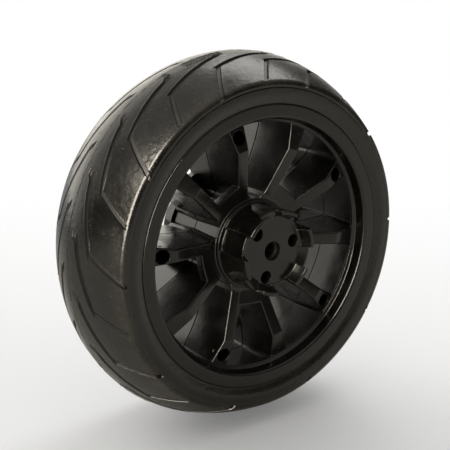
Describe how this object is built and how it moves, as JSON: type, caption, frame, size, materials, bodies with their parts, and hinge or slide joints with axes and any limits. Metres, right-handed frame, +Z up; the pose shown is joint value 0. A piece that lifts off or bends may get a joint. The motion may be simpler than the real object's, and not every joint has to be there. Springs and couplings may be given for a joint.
{
  "type": "ride-on motorcycle wheel",
  "caption": "Upright moulded wheel with a round grooved motorcycle tyre, a ribbed spoked plastic rim and a toothed drive hub, turning on a steel sleeve.",
  "frame": {"origin": "centre of the wheel, on its axle line and midway between its two ends", "axes": "+Y along the axle, away from the drive side; +Z up; the drive side faces -Y"},
  "size_m": [0.27, 0.1182, 0.27],
  "materials": {
    "tyre_rubber": "satin moulded rubber, chalky in places",
    "rim_plastic": "satin gloss injection moulded",
    "hub_plastic": "satin injection moulded",
    "nylon": "natural nylon",
    "zinc_steel": "zinc plated",
    "sleeve_steel": "turned steel"
  },
  "bodies": {
    "axle": {"axle_sleeve": "sleeve_steel", "front_thrust_washer": "sleeve_steel", "rear_thrust_washer": "sleeve_steel", "sleeve_circlip": "sleeve_steel"},
    "wheel": {"tyre": "tyre_rubber", "rim_front": "rim_plastic", "rim_rear": "rim_plastic", "drive_hub": "hub_plastic", "rear_hub_plate": "hub_plastic", "front_bush": "nylon", "rear_bush": "nylon", "rim_screw_1": "zinc_steel", "rim_screw_2": "zinc_steel", "rim_screw_3": "zinc_steel", "rim_screw_4": "zinc_steel", "rim_screw_5": "zinc_steel", "hub_bolt_1": "zinc_steel", "hub_nut_1": "zinc_steel", "hub_bolt_2": "zinc_steel", "hub_nut_2": "zinc_steel", "hub_bolt_3": "zinc_steel", "hub_nut_3": "zinc_steel"}
  },
  "joints": [
    {"name": "wheel_spin", "type": "hinge", "parent": "axle", "child": "wheel", "pos_m": [0, 0, 0], "axis": [0, 1, 0], "continuous": true}
  ]
}
